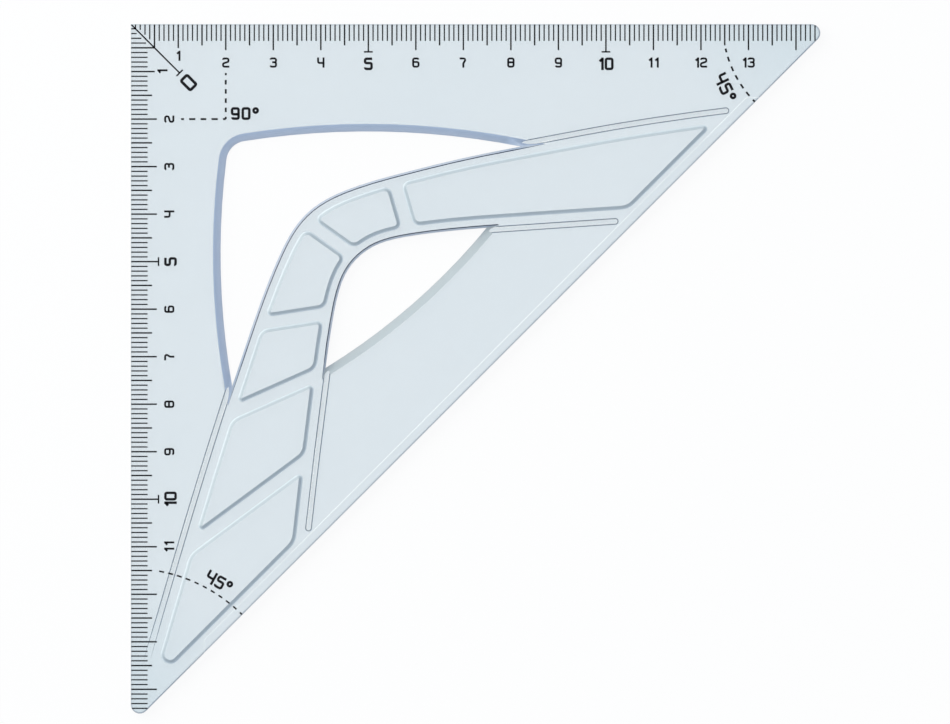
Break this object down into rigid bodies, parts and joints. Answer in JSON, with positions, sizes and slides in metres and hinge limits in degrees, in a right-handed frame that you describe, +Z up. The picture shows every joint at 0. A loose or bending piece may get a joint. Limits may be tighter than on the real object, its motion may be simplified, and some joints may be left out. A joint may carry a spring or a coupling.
{
  "type": "set square",
  "caption": "Clear 45 degree drawing set square with printed edge scales, two bevelled windows and a boomerang-shaped grip with raised pads.",
  "frame": {"origin": "right-angled corner of the plate, on the underside", "axes": "+X along the leg with the upper scale, -Y along the leg with the left scale, +Z up out of the printed face"},
  "size_m": [0.1451, 0.1451, 0.0027],
  "materials": {
    "clear_plastic": "clear, faintly blue, polished moulded plastic",
    "print_ink": "thin black printed ink"
  },
  "bodies": {
    "root": {"plate": "clear_plastic", "upper_scale": "print_ink", "left_scale": "print_ink", "zero_leader": "print_ink", "right_angle_mark": "print_ink", "right_tip_arc": "print_ink", "left_tip_arc": "print_ink"}
  },
  "joints": []
}
